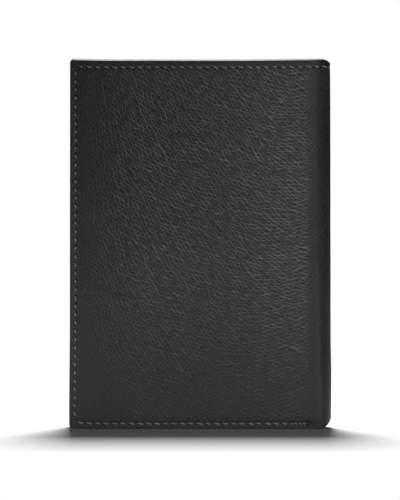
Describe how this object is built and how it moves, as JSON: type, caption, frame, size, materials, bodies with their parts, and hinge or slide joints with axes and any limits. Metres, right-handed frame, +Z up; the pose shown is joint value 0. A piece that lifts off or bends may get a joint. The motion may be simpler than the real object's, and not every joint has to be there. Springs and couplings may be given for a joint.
{
  "type": "travel document organizer",
  "caption": "Book-style leather travel wallet with stiffened covers on a soft spine, ticket pockets open at the top, a passport pocket and stepped card slots inside.",
  "frame": {"origin": "middle of the footprint, on the surface that the closed wallet stands on", "axes": "+Z up along the wallet's height, +X from the fore edge to the spine, -Y out of the back cover's outer face, +Y out of the front cover's outer face"},
  "size_m": [0.102, 0.014, 0.145],
  "materials": {
    "outer_leather": "black full-grain leather with drawn pebble grain, satin",
    "inner_leather": "smoother black leather with fine grain, satin",
    "lining": "black twill lining",
    "board": "dark stiffener sheet",
    "thread": "bonded polyester thread, dark grey, slight sheen"
  },
  "bodies": {
    "back_cover": {"back_cover_leather": "outer_leather", "back_cover_stiffener": "board", "back_ticket_lining": "lining", "back_fore_edge_hem": "outer_leather", "back_bottom_hem": "outer_leather", "back_top_hem": "outer_leather", "back_inner_panel": "inner_leather", "back_edge_stitches": "thread", "passport_pocket_front": "inner_leather", "passport_pocket_edges": "inner_leather", "passport_pocket_stitches": "thread"},
    "spine": {"spine_leather": "outer_leather", "spine_top_hem": "outer_leather", "spine_bottom_hem": "outer_leather", "spine_reinforcement": "board", "spine_lining": "lining", "spine_top_stitches": "thread"},
    "front_cover": {"front_cover_leather": "outer_leather", "front_cover_stiffener": "board", "front_ticket_lining": "lining", "front_fore_edge_hem": "outer_leather", "front_bottom_hem": "outer_leather", "front_top_hem": "outer_leather", "front_inner_panel": "inner_leather", "front_edge_stitches": "thread", "card_slot_1": "inner_leather", "card_slot_2": "inner_leather", "card_slot_3": "inner_leather", "card_slot_4": "inner_leather", "card_slot_linings": "lining", "slip_pocket_front": "inner_leather", "card_slot_stitches": "thread"}
  },
  "joints": [
    {"name": "back_fold", "type": "hinge", "parent": "back_cover", "child": "spine", "pos_m": [0.049, -0.006, 0], "axis": [0, 0, -1], "range_deg": [0, 90]},
    {"name": "front_fold", "type": "hinge", "parent": "spine", "child": "front_cover", "pos_m": [0.049, 0.006, 0], "axis": [0, 0, -1], "range_deg": [0, 90]}
  ],
  "couplings": [
    {"joint": "front_fold", "follows": "back_fold", "ratio": 1}
  ]
}
